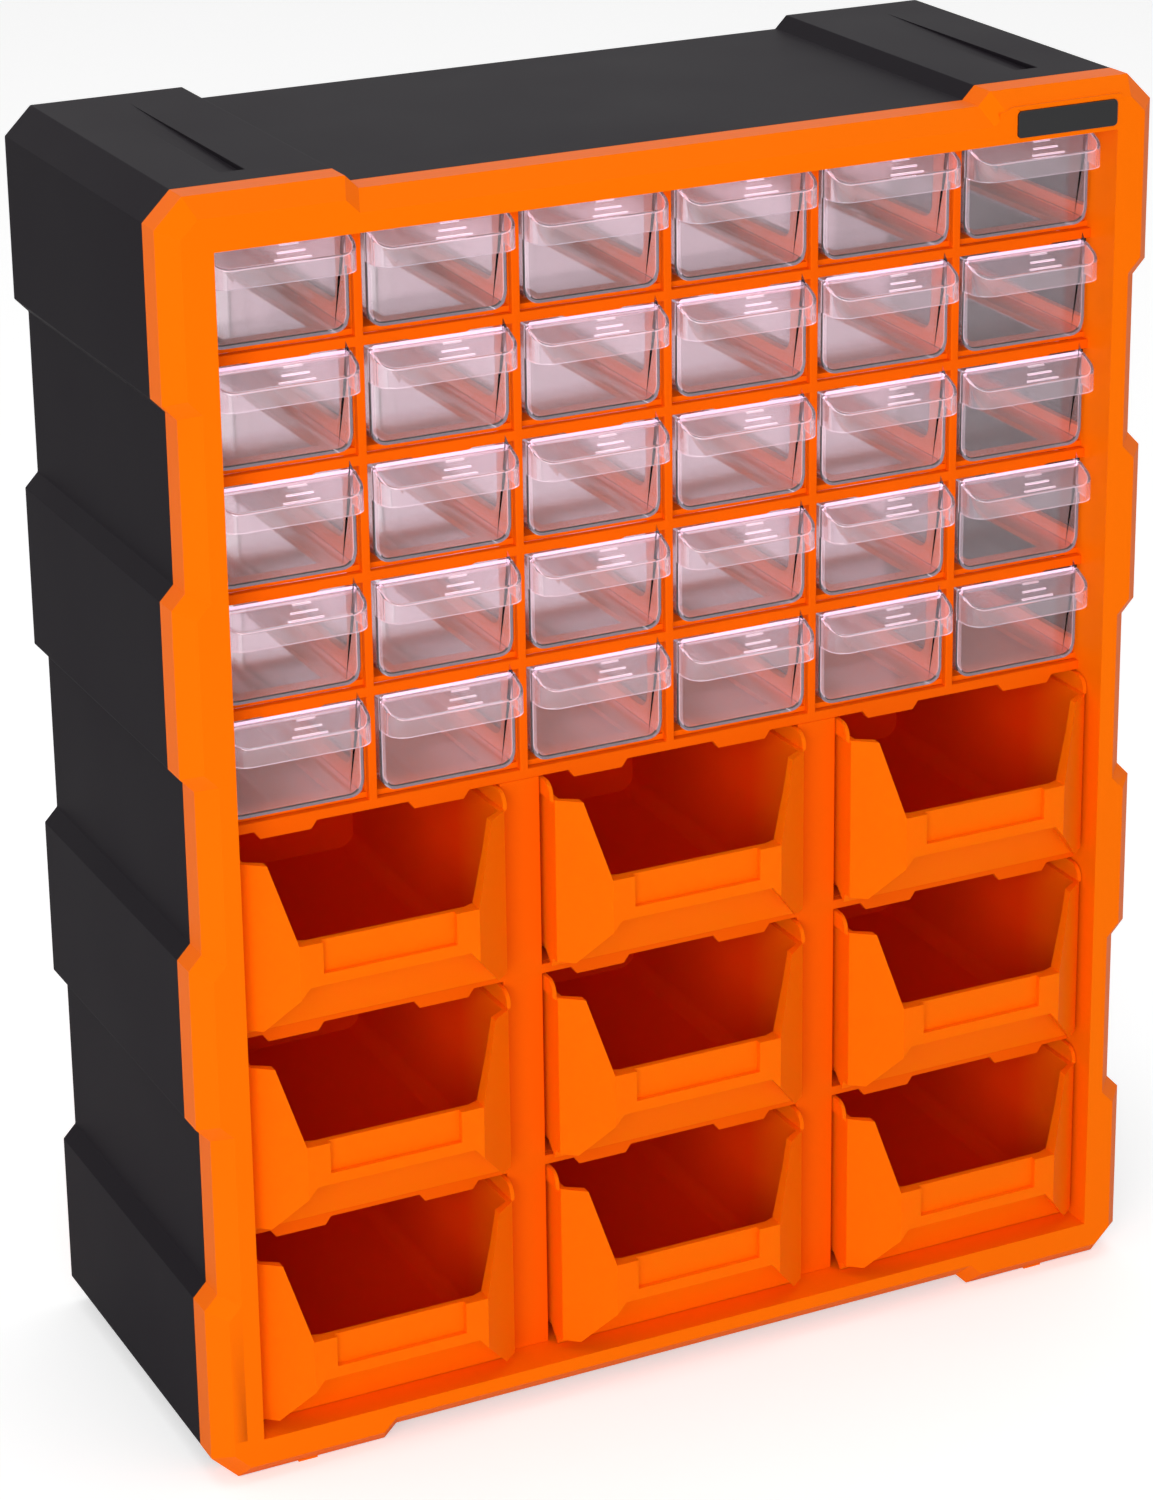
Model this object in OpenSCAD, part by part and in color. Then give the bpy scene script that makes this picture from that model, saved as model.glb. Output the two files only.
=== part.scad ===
// Parts bin cabinet: a moulded outer housing, a coloured front frame with an inner
// drawer rack and bin rack, thirty small clear drawers and nine open-front bins.
// Millimetres, +Z up, front towards -Y. The origin is at the middle of the footprint,
// level with the stacking ribs that the cabinet stands on.

/* [Small drawers] */
// Columns of small drawers
drawer_cols = 6; // [2:1:6]
// Rows of small drawers
drawer_rows = 5; // [1:1:5]
// Clear width of one small drawer cell
cell_w = 54.9; // [48:0.1:62]
// Clear height of one small drawer cell
cell_h = 38.2; // [34:0.1:46]
// Length of a small drawer, front wall to back wall
drawer_len = 126; // [100:1:126]
// Wall and floor of a small drawer
drawer_wall = 1.3; // [1:0.1:2]
// Radius of a small drawer's lower edges
drawer_r = 6; // [3:0.5:9]
// Gap each side between a small drawer and its cell
drawer_side_gap = 1.45; // [0.8:0.05:2]
// Gap above a small drawer
drawer_top_gap = 1.4; // [1.2:0.1:2]
// How far the pull hood stands in front of the drawer's front wall
hood_d = 11.5; // [8:0.5:13]
// Height of the pull hood from its lower edge to the drawer's top
hood_h = 12.3; // [9:0.1:15]
// Height of the pull hood's upright lip
hood_lip_h = 6.5; // [4:0.1:8]
// Depth of the level strip along the top of the hood
hood_flat = 3; // [1:0.5:5]
// Radius of the hood's front corners seen from above
hood_r = 6; // [3:0.5:8]
// Radius of the hood's top corners seen from the front
hood_top_r = 5; // [2:0.5:6]
// Width of the stop lug on a small drawer's back wall
lug_w = 20; // [10:1:30]
// Height of the stop lug above the drawer's top
lug_h = 1; // [0.9:0.05:1.1]

/* [Bins] */
// Columns of bins
bin_cols = 3; // [1:1:3]
// Rows of bins
bin_rows = 3; // [1:1:3]
// Width of the posts between bin columns
post_w = 15.45; // [10:0.05:22]
// Clear height of one bin cell
bin_cell_h = 73; // [68:0.5:85]
// Gap each side between a bin's rim and its cell
bin_side_gap = 0.6; // [0.4:0.1:1.5]
// Gap above a bin
bin_top_gap = 0.8; // [0.5:0.1:1.5]
// Gap under a bin
bin_lift = 0.3; // [0.2:0.05:0.6]
// How far a bin's rim stands out from its side wall
bin_rim_out = 1.5; // [1:0.1:3]
// Height of a bin's rim
bin_rim_h = 6; // [4:0.5:9]
// Wall and floor of a bin
bin_wall = 2; // [1.5:0.1:3]
// Radius of a bin's lower edges
bin_r = 8; // [4:0.5:12]
// How far the label panel stands in front of the frame's face
bin_proud = 5.5; // [3:0.5:8]
// How far a bin's side walls stand in front of the grid
bin_side_proud = 8; // [5:0.5:10]
// How far a bin's floor stands in front of the grid
bin_floor_proud = 3.5; // [2:0.5:5]
// Width of each slanted cheek beside the flat label panel
cheek_w = 16.25; // [10:0.05:18]
// Thickness of the label panel
panel_t = 4.5; // [4:0.1:6]
// Height of the label panel's lower edge above the bin's floor
panel_low = 20.7; // [16:0.1:22]
// Height of the label panel's upper edge above the bin's floor
panel_top = 36.8; // [32:0.1:40]
// Distance from each side of the label panel to the label pocket
pocket_in = 8.7; // [6:0.1:16]
// Height of the label pocket's lower edge above the bin's floor
pocket_low = 25; // [20:0.1:28]
// Depth of the label pocket
pocket_d = 2.3; // [1:0.1:3]
// Distance from each side of the bin to its mouth at the mouth's top
mouth_in = 7.85; // [5:0.05:10]
// How far the cheeks' upper edge lies below the bin's top
cheek_drop = 5.2; // [4:0.1:8]
// Height of the cheeks' lower tips above the bin's floor
cheek_low = 3.6; // [1:0.1:5]
// Distance from each side of the label panel to where its lower edge starts to slant
slant_in = 3.5; // [2:0.1:9]
// How far inside each side of the label panel its inner face bends backwards
bend_in = 4; // [1:0.5:8]
// How far outside each side of the label panel the inner face bends again
bend_out = 5; // [2:0.5:8]
// Depth of that second bend behind the label panel's face
bend_d = 8; // [6:0.5:9]
// Distance from each side of the bin to the cheeks' lower tips
tip_in = 5.35; // [3.5:0.05:8]
// Radius of the rim's front corner, seen from the side
ear_r = 5; // [2:0.5:5.5]

/* [Front frame] */
// Width of the bars between small drawer columns
bar_w = 3; // [2:0.1:5]
// Height of the bars between rows
bar_h = 3.6; // [2.8:0.1:6]
// Depth of the bars, front to back
grid_t = 3; // [2:0.1:5]
// How far the bars lie behind the frame's face
grid_in = 15.5; // [14:0.1:17]
// Width of the side rails, opening to outer edge
rail_side = 17.8; // [16:0.1:24]
// Height of the bottom rail
rail_bottom = 16.5; // [15:0.1:24]
// Height of the top rail above the uppermost cell
rail_top = 19.6; // [17:0.1:24]
// How far the face's opening is cut above the uppermost cell
top_relief = 1.5; // [0:0.1:2]
// Depth of the frame's side face and chamfer together
frame_d = 17.6; // [17:0.1:20]
// Depth of the chamfer round the frame's face
face_chamfer_d = 6.8; // [4:0.1:9]
// Width of the chamfer round the frame's face
face_chamfer_w = 6.5; // [4:0.1:7.5]
// Wall of the frame moulding
frame_wall = 2.5; // [2:0.1:3]
// Depth of the frame's spigot inside the housing
spigot_d = 8; // [4:0.5:12]
// Gap between the spigot and the housing's inside
spigot_gap = 0.3; // [0.2:0.05:0.5]
// Width of the tabs under the bars
tab_w = 23.4; // [16:0.1:30]
// How much narrower a tab is at its lower edge
tab_taper = 4.4; // [2:0.1:6]
// Depth of the tabs above the bins
bin_tab_h = 3; // [2:0.1:4]
// Depth of the tabs above the small drawers
drawer_tab_h = 0.8; // [0.7:0.05:0.85]

/* [Racks] */
// Width of the runner ledge on each side of a cell
ledge_w = 11; // [8:0.5:14]
// Thickness of the runner ledges
ledge_t = 2; // [1.5:0.1:2.5]
// Gap between a small drawer and its runner ledges
ledge_gap = 0.2; // [0.15:0.05:0.4]
// Depth of the strip that joins the ledges behind the bars
strip_d = 6; // [3:0.5:10]
// Height of the runner walls above a cell's floor
runner_h = 7.5; // [6:0.5:14]
// Thickness of the bin shelves
shelf_t = 2.4; // [2:0.1:2.8]
// Thickness of the walls between bin columns
rack_wall = 2.4; // [2:0.1:3]
// Length of the racks behind the bars
rack_len = 128.5; // [127.5:0.5:130]
// Thickness of the racks' rear bars
rear_t = 3; // [2:0.1:4]
// Height of the rear bar behind the small drawers, above their cells' floor
stop_h = 5; // [4:0.5:10]
// Height of the rear bar behind the bins, above their cells' floor
bin_stop_h = 9; // [5:0.5:14]

/* [Housing] */
// Depth of the cabinet from the frame's face to the housing's back edge
cab_d = 154.5; // [154:0.5:165]
// Wall of the housing
shell_wall = 3.2; // [2.8:0.1:4]
// How deep the side bands are recessed
recess = 5; // [3:0.1:7]
// Recessed bands on each side
recess_n = 3; // [1:1:3]
// Spacing of the band edges
band_pitch = 65.5; // [50:0.1:70]
// Height of the slope at each band edge
band_step = 5.3; // [4:0.1:7]
// Size of the outline's corner chamfers
corner = 10; // [6:0.1:14]
// Width of the raised blocks at the top and bottom corners
block_w = 67; // [50:0.5:90]
// Height of the raised blocks
block_h = 4.8; // [3:0.1:7]
// Width of the rear flange
flange_w = 12; // [8:0.5:14]
// Thickness of the rear flange
flange_t = 3; // [2:0.1:4]
// Width and height of the hanging plates in the rear top corners
hang_plate = 44; // [36:1:60]
// Distance of each keyhole from the housing's side
hang_x = 32; // [28:0.5:40]
// Distance of the keyholes from the housing's top
hang_z = 34; // [30:0.5:40]
// Radius of a keyhole's round end
hang_r = 5; // [4:0.1:6]
// Radius of a keyhole's slot
slot_r = 2.4; // [2:0.1:2.8]
// Length of a keyhole's slot above its round end
slot_len = 11; // [9:0.5:14]

/* [Stacking] */
// Distance of a stacking groove's middle from the side of the housing
groove_x = 37; // [30:0.5:45]
// Width of a stacking groove
groove_w = 9; // [6:0.1:12]
// Deepest part of a stacking groove, at its front end
groove_h = 2.1; // [1:0.1:2.2]
// Distance of a groove's front end from the frame's face
groove_front = 31; // [24:0.5:40]
// Length of a groove
groove_len = 107; // [60:1:115]
// Gap each side between a stacking rib and a groove
rib_gap = 0.8; // [0.4:0.1:1.5]
// Height of the stacking ribs and front bumps under the feet
rib_h = 0.7; // [0.5:0.1:1]
// Length of the front bumps under the frame's feet
bump_len = 7; // [4:0.5:9]

/* [Badge] */
// Width of the bare badge plate
badge_w = 41.2; // [30:0.1:48]
// Height of the bare badge plate
badge_h = 9.6; // [7:0.1:10.5]
// Corner radius of the badge plate
badge_r = 1.6; // [0.5:0.1:3]
// Thickness of the badge plate
badge_t = 1.2; // [0.8:0.1:1.5]
// Depth of the badge plate's seat in the frame
badge_seat = 0.6; // [0.4:0.1:1]
// Margin of the pad round the badge plate
badge_margin = 1.7; // [1:0.1:2.5]
// Length of the slope at the pad's left end
pad_slope = 5.5; // [2:0.5:6]
// Gap round the badge plate in its seat
badge_gap = 0.15; // [0.1:0.05:0.3]
// Distance from the opening's side to the badge plate's right edge
badge_in = 0.6; // [0:0.1:6]
// Height of the badge plate's lower edge above the face's opening
badge_up = 1.7; // [1.2:0.1:3]

/* [Hidden] */
$fn = 48;
eps = 0.01;
cut = 1;

// Overall sizes, from the cells outwards
inner_w = drawer_cols*cell_w + (drawer_cols - 1)*bar_w;
bin_cell_w = (inner_w - (bin_cols - 1)*post_w)/bin_cols;
cab_w = inner_w + 2*rail_side;
hw = cab_w/2;
ihw = inner_w/2;
base_z = rib_h;
floor_z = base_z + rail_bottom;
bins_top = floor_z + bin_rows*(bin_cell_h + bar_h);
inner_top = bins_top + drawer_rows*(cell_h + bar_h) - bar_h;
top_z = inner_top + rail_top;
out_h = top_z - base_z;

// Depths, measured from the frame's face at front_y
total_d = cab_d + bin_proud;
front_y = bin_proud - total_d/2;
back_y = total_d/2;
grid_y = front_y + grid_in;
rack_y = grid_y + grid_t;
rack_end = rack_y + rack_len;
joint_y = front_y + frame_d;

// Inset of the hollow inside the front frame
hollow_in = max(face_chamfer_w, shell_wall + spigot_gap + frame_wall);

// Offset of a 45 degree corner when an outline moves in by one
mitre = tan(22.5);

// Places of the cells
function cell_x(c) = (c - (drawer_cols - 1)/2)*(cell_w + bar_w);
function cell_z(r) = inner_top - cell_h - r*(cell_h + bar_h);
function bin_x(c) = -ihw + bin_cell_w/2 + c*(bin_cell_w + post_w);
function bin_z(r) = floor_z + (bin_rows - 1 - r)*(bin_cell_h + bar_h);

// Drawer and bin sizes that follow from their cells
drawer_w = cell_w - 2*drawer_side_gap;
drawer_z = ledge_t + ledge_gap;
drawer_h = cell_h - drawer_z - drawer_top_gap;
bin_half = bin_cell_w/2 - bin_side_gap - bin_rim_out;
bin_h = bin_cell_h - bin_lift - bin_top_gap;
panel_half = bin_half - cheek_w;
pocket_half = panel_half - pocket_in;
mouth_half = bin_half - mouth_in;
cheek_inner = panel_half - slant_in;
cheek_tip = bin_half - tip_in;
cheek_top = bin_h - cheek_drop;
bin_back = rack_end - rear_t - 2*bin_lift;
panel_y = front_y - bin_proud;
side_y = grid_y - bin_side_proud;
lip_y = grid_y - bin_floor_proud;

// ---- outline of housing and frame, moved in by e ----

function band_z(i) = base_z + out_h/2 + (i - (2*recess_n - 1)/2)*band_pitch;
function band_pts(e) = [for (i = [0:2*recess_n - 1]) each
  i % 2 == 0
  ? [[hw - e, band_z(i) - band_step/2 - mitre*e], [hw - recess - e, band_z(i) + band_step/2 - mitre*e]]
  : [[hw - recess - e, band_z(i) - band_step/2 + mitre*e], [hw - e, band_z(i) + band_step/2 + mitre*e]]];
function half_pts(e) = concat(
  [[hw - block_w - block_h + mitre*e, base_z + block_h + e], [hw - block_w + mitre*e, base_z + e],
   [hw - corner - mitre*e, base_z + e], [hw - e, base_z + corner + mitre*e]],
  band_pts(e),
  [[hw - e, top_z - corner - mitre*e], [hw - corner - mitre*e, top_z - e],
   [hw - block_w + mitre*e, top_z - e], [hw - block_w - block_h + mitre*e, top_z - block_h - e]]);
function flip_pts(p) = [for (i = [len(p) - 1:-1:0]) [-p[i][0], p[i][1]]];
function outline_pts(e) = concat(half_pts(e), flip_pts(half_pts(e)));

// ---- prisms along the three axes ----

module front_prism(y0, y1) {
  translate([0, y1, 0]) rotate([90, 0, 0]) linear_extrude(y1 - y0) children();
}
module side_prism(x0, x1) {
  translate([x0, 0, 0]) rotate([90, 0, 90]) linear_extrude(x1 - x0) children();
}
module block(x0, x1, y0, y1, z0, z1) {
  translate([x0, y0, z0]) cube([x1 - x0, y1 - y0, z1 - z0]);
}
module outline_prism(e, y0, y1) {
  front_prism(y0, y1) polygon(outline_pts(e));
}

// ---- housing ----

// Wedge along Y, h high at its front end and level with z at its back end
module wedge(x, w, y, l, z, h) {
  side_prism(x - w/2, x + w/2) polygon([[y, z + cut], [y, z - h], [y + l, z], [y + l + cut, z + cut]]);
}

module keyhole(x, z) {
  front_prism(back_y - flange_t - cut, back_y + cut) {
    translate([x, z]) circle(hang_r);
    translate([x - slot_r, z]) square([2*slot_r, slot_len - slot_r]);
    translate([x, z + slot_len - slot_r]) circle(slot_r);
  }
}

module housing() {
  color([0.14, 0.13, 0.14]) {
    difference() {
      outline_prism(0, joint_y, back_y);
      outline_prism(shell_wall, joint_y - cut, back_y - flange_t);
      difference() {
        outline_prism(shell_wall + flange_w, joint_y, back_y + cut);
        for (s = [-1, 1])
          translate([s*(hw - hang_plate/2), 0, 0])
            block(-hang_plate/2, hang_plate/2, back_y - flange_t - cut, back_y + 2*cut,
              top_z - hang_plate, top_z);
      }
      for (s = [-1, 1]) {
        keyhole(s*(hw - hang_x), top_z - hang_z);
        wedge(s*(hw - groove_x), groove_w, front_y + groove_front, groove_len, top_z, groove_h);
      }
    }
    for (s = [-1, 1])
      translate([s*(hw - groove_x), 0, 0])
        block(-groove_w/2 + rib_gap, groove_w/2 - rib_gap, front_y + groove_front,
          front_y + groove_front + groove_len, 0, base_z + shell_wall/2);
  }
}

// ---- front frame ----

badge_x1 = ihw - badge_in;
badge_x0 = badge_x1 - badge_w;
badge_z0 = inner_top + top_relief + badge_up;

module badge_shape(e) {
  translate([badge_x0 + badge_r, badge_z0 + badge_r]) {
    r = badge_r + e;
    w = badge_w - 2*badge_r;
    h = badge_h - 2*badge_r;
    translate([-r, 0]) square([w + 2*r, h]);
    translate([0, -r]) square([w, h + 2*r]);
    for (x = [0, w]) for (z = [0, h]) translate([x, z]) circle(r);
  }
}

// Tab that hangs h below z, centred on x
module tab(x, z, h) {
  front_prism(grid_y, rack_y)
    polygon([[x - tab_w/2, z + eps], [x + tab_w/2, z + eps], [x + tab_w/2, z],
      [x + (tab_w - tab_taper)/2, z - h], [x - (tab_w - tab_taper)/2, z - h], [x - tab_w/2, z]]);
}

// Bars between the small drawers, the bar above the bins, and the tabs that hang from them
module drawer_grid() {
  color([0.95, 0.42, 0.05]) {
    for (r = [0:drawer_rows - 1]) {
      block(-ihw, ihw, grid_y, rack_y, cell_z(r) - bar_h, cell_z(r));
      if (r > 0) for (c = [0:drawer_cols - 1]) tab(cell_x(c), cell_z(r) + cell_h, drawer_tab_h);
    }
    for (c = [1:drawer_cols - 1])
      block(cell_x(c) - cell_w/2 - bar_w, cell_x(c) - cell_w/2, grid_y, rack_y, bins_top - eps, inner_top);
    bin_tabs(0);
  }
}

// Bars and posts between the bins, and the tabs that hang from the bars
module bin_grid() {
  color([0.95, 0.42, 0.05]) {
    if (bin_rows > 1) for (r = [1:bin_rows - 1]) {
      block(-ihw, ihw, grid_y, rack_y, bin_z(r) + bin_cell_h, bin_z(r) + bin_cell_h + bar_h);
      bin_tabs(r);
    }
    if (bin_cols > 1) for (c = [1:bin_cols - 1])
      block(bin_x(c) - bin_cell_w/2 - post_w, bin_x(c) - bin_cell_w/2, grid_y, rack_y,
        floor_z, bins_top - bar_h);
  }
}

module bin_tabs(r) {
  for (c = [0:bin_cols - 1]) for (s = [-1, 1])
    tab(bin_x(c) + s*(cell_w + bar_w)/2, bin_z(r) + bin_cell_h, bin_tab_h);
}

// Everything left of the line from p to q in front view, with the face's chamfer along it
module bevelled_side(p, q) {
  translate([p[0], 0, p[1]]) rotate([0, -atan2(q[1] - p[1], q[0] - p[0]), 0])
    side_prism(-cab_w - out_h, cab_w + out_h)
      polygon([[front_y, face_chamfer_w], [front_y + face_chamfer_d, 0], [joint_y, 0],
        [joint_y, cab_w + out_h], [front_y, cab_w + out_h]]);
}

// Convex piece of the frame's body, bounded by the outline's edges that start at the points in i
module bevelled_piece(i) {
  p = outline_pts(0);
  intersection_for(k = i) bevelled_side(p[k], p[k + 1]);
}

// The frame's body: a core between the recesses, with raised bands and corner blocks on both sides
module frame_body() {
  p = outline_pts(0);
  first = 4;
  last = first + 4*recess_n;
  keep = recess + 2*face_chamfer_w;
  intersection() {
    bevelled_side(p[first + 1], p[first + 2]);
    mirror([1, 0, 0]) bevelled_side(p[first + 1], p[first + 2]);
    bevelled_side([-1, p[0][1]], [1, p[0][1]]);
    bevelled_side([1, p[last + 3][1]], [-1, p[last + 3][1]]);
    for_corners() bevelled_side(p[2], p[3]);
  }
  for (m = [0, 1]) mirror([m, 0, 0]) {
    for (j = [0:recess_n]) intersection() {
      bevelled_piece(j == 0 ? [1, 2, 3, first]
        : j == recess_n ? [last - 2, last - 1, last, last + 1]
        : [first + 4*j - 2, first + 4*j - 1, first + 4*j]);
      block(hw - keep, hw + cut, front_y - cut, joint_y + cut, base_z - cut, top_z + cut);
    }
    intersection() {
      bevelled_piece([0, 1, 2, 3]);
      block(0, hw + cut, front_y - cut, joint_y + cut, base_z - cut, base_z + block_h + 2*face_chamfer_w);
    }
    intersection() {
      bevelled_piece([last - 1, last, last + 1, last + 2]);
      block(0, hw + cut, front_y - cut, joint_y + cut, top_z - block_h - 2*face_chamfer_w, top_z + cut);
    }
  }
}

module for_corners() {
  intersection_for(m = [0, 1]) mirror([m, 0, 0]) {
    intersection_for(k = [0, 1])
      translate([0, 0, k*(top_z + base_z)]) mirror([0, 0, k]) children();
  }
}

module front_frame() {
  color([0.95, 0.42, 0.05]) {
    difference() {
      union() {
        frame_body();
        outline_prism(shell_wall + spigot_gap, joint_y - cut, joint_y + spigot_d);
        // pad that carries the badge plate, its left end sloping down to the face's edge
        front_prism(front_y, front_y + face_chamfer_d)
          polygon([[badge_x0 - badge_margin - pad_slope, badge_z0], [badge_x1 + badge_margin, badge_z0],
            [badge_x1 + badge_margin, badge_z0 + badge_h + badge_margin],
            [badge_x0 - badge_margin, badge_z0 + badge_h + badge_margin],
            [badge_x0 - badge_margin - pad_slope, badge_z0 + badge_h]]);
      }
      // the opening, then the hollow between the outer and the inner walls
      block(-ihw, ihw, front_y - cut, grid_y, floor_z, inner_top + top_relief);
      block(-ihw, ihw, grid_y - cut, joint_y + spigot_d + cut, floor_z, inner_top);
      difference() {
        outline_prism(hollow_in, front_y + frame_wall, joint_y + spigot_d + cut);
        block(-ihw - frame_wall, ihw + frame_wall, front_y, rack_y,
          floor_z - frame_wall, inner_top + top_relief + frame_wall);
      }
      front_prism(front_y - cut, front_y + badge_seat) badge_shape(badge_gap);
    }
    for (c = [0:drawer_cols - 1]) tab(cell_x(c), inner_top, drawer_tab_h);
    for (s = [-1, 1])
      translate([s*(hw - groove_x), 0, 0])
        block(-groove_w/2 + rib_gap, groove_w/2 - rib_gap, front_y + face_chamfer_d,
          front_y + face_chamfer_d + bump_len, 0, base_z + frame_wall);
  }
}

// ---- racks behind the bars ----

// Runner between x0 and x1 on a cell's floor at z: a low wall, and a ledge towards each side in dirs
module runner(x0, x1, z, dirs) {
  block(x0, x1, rack_y, rack_end, z - bar_h, z + runner_h);
  for (d = dirs)
    block(d < 0 ? x0 - ledge_w : x1, d < 0 ? x0 : x1 + ledge_w, rack_y, rack_end, z, z + ledge_t);
}

// Comb of runners for one row of small drawers, joined by a rear bar that is also the drawers' stop
module drawer_rack(r) {
  z = cell_z(r);
  color([0.95, 0.42, 0.05]) {
    runner(-ihw - frame_wall, -ihw, z, [1]);
    runner(ihw, ihw + frame_wall, z, [-1]);
    for (c = [1:drawer_cols - 1])
      runner(cell_x(c) - cell_w/2 - bar_w, cell_x(c) - cell_w/2, z, [-1, 1]);
    block(-ihw, ihw, rack_end - rear_t, rack_end, z - bar_h, z + stop_h);
    block(-ihw, ihw, rack_y, rack_y + strip_d, z, z + ledge_t);
    // the lowest row closes the bins' cells with a shelf
    if (r == drawer_rows - 1) block(-ihw, ihw, rack_y, rack_end, z - bar_h, z - bar_h + shelf_t);
  }
}

// Shelf, rear bar and walls for one row of bins
module bin_rack(r) {
  z = bin_z(r);
  // the walls reach the shelf of the row above, or the lowest row of drawers
  top = z + bin_cell_h + (r == 0 ? 0 : bar_h - shelf_t);
  color([0.95, 0.42, 0.05]) {
    block(-ihw - rack_wall, ihw + rack_wall, rack_y, rack_end, z - shelf_t, z);
    block(-ihw, ihw, rack_end - rear_t, rack_end, z, z + bin_stop_h);
    for (s = [-1, 1]) translate([s*(ihw + rack_wall/2), 0, 0])
      block(-rack_wall/2, rack_wall/2, rack_y, rack_end, z, top);
    if (bin_cols > 1) for (c = [1:bin_cols - 1])
      for (x = [bin_x(c) - bin_cell_w/2 - post_w, bin_x(c) - bin_cell_w/2 - rack_wall])
        block(x, x + rack_wall, rack_y, rack_end, z, top);
  }
}

module badge_plate() {
  color([0.05, 0.05, 0.05])
    front_prism(front_y + badge_seat - badge_t, front_y + badge_seat) badge_shape(0);
}

// ---- small drawer ----

// Front view of the drawer's box, moved in by e, open upwards to top
module drawer_front(e, top) {
  r = drawer_r - e;
  w = drawer_w - 2*drawer_r;
  translate([-w/2 - r, drawer_r]) square([w + 2*r, top - drawer_r]);
  translate([-w/2, e]) square([w, drawer_r - e + eps]);
  for (x = [-w/2, w/2]) translate([x, drawer_r]) circle(r);
}

// Front view of the hood and the wall behind it, moved in by e, from z upwards
module hood_front(e, z) {
  r = hood_top_r - e;
  w = drawer_w/2 - hood_top_r;
  translate([-w - r, z]) square([2*(w + r), drawer_h - hood_top_r - z]);
  translate([-w, z]) square([2*w, drawer_h - e - z]);
  for (x = [-w, w]) translate([x, drawer_h - hood_top_r]) circle(r);
}

// Hood's outer form moved in by e: plan, side and front views in one
module hood_form(e, down) {
  low = drawer_h - hood_h - down;
  d = hood_d - e;
  w = drawer_w/2 - e;
  r = hood_r - e;
  t = drawer_h - e;
  intersection() {
    translate([0, 0, low]) linear_extrude(hood_h + down) {
      translate([-w, -d + r]) square([2*w, d - r + drawer_wall]);
      translate([-w + r, -d]) square([2*(w - r), d]);
      for (s = [-1, 1]) translate([s*(w - r), -d + r]) circle(r);
    }
    side_prism(-drawer_w, drawer_w)
      polygon([[drawer_wall, low], [-d, low], [-d, drawer_h - hood_h + hood_lip_h - e], [-hood_flat, t],
        [drawer_wall, t]]);
    front_prism(-hood_d - cut, drawer_wall + cut) hood_front(e, low);
  }
}

module small_drawer() {
  difference() {
    union() {
      front_prism(drawer_wall, drawer_len) drawer_front(0, drawer_h);
      front_prism(0, drawer_wall) intersection() {
        drawer_front(0, drawer_h);
        hood_front(0, 0);
      }
      hood_form(0, 0);
    }
    front_prism(drawer_wall, drawer_len - drawer_wall) drawer_front(drawer_wall, drawer_h + cut);
    difference() {
      hood_form(drawer_wall, cut);
      block(-drawer_w, drawer_w, 0, drawer_wall + cut, 0, drawer_h);
    }
  }
  block(-lug_w/2, lug_w/2, drawer_len - drawer_wall, drawer_len, drawer_h - eps, drawer_h + lug_h);
}

module drawer(r, c) {
  color([0.93, 0.83, 0.84, 0.45])
    translate([cell_x(c), grid_y, cell_z(r) + drawer_z]) small_drawer();
}

// ---- bin ----

// Outline of a bin from above; its nose has slanted cheeks
module bin_plan() {
  polygon([[-bin_half, bin_back], [bin_half, bin_back], [bin_half, side_y],
    [panel_half, panel_y], [-panel_half, panel_y], [-bin_half, side_y]]);
}

// Inside of a bin from above; the cheeks grow thicker towards the label panel
module bin_room() {
  w = bin_half - bin_wall;
  polygon([[-w, bin_back - bin_wall], [w, bin_back - bin_wall], [w, side_y + bin_wall/2],
    [panel_half + bend_out, panel_y + bend_d], [panel_half - bend_in, panel_y + panel_t],
    [-panel_half + bend_in, panel_y + panel_t], [-panel_half - bend_out, panel_y + bend_d],
    [-w, side_y + bin_wall/2]]);
}

// Front view of a bin's box, moved in by e, with rounded lower edges
module bin_front(e, top) {
  r = bin_r - e;
  w = bin_half - bin_r;
  translate([-w - r, bin_r]) square([2*(w + r), top - bin_r]);
  translate([-w, e]) square([2*w, bin_r - e + eps]);
  for (x = [-w, w]) translate([x, bin_r]) circle(r);
}

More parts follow.
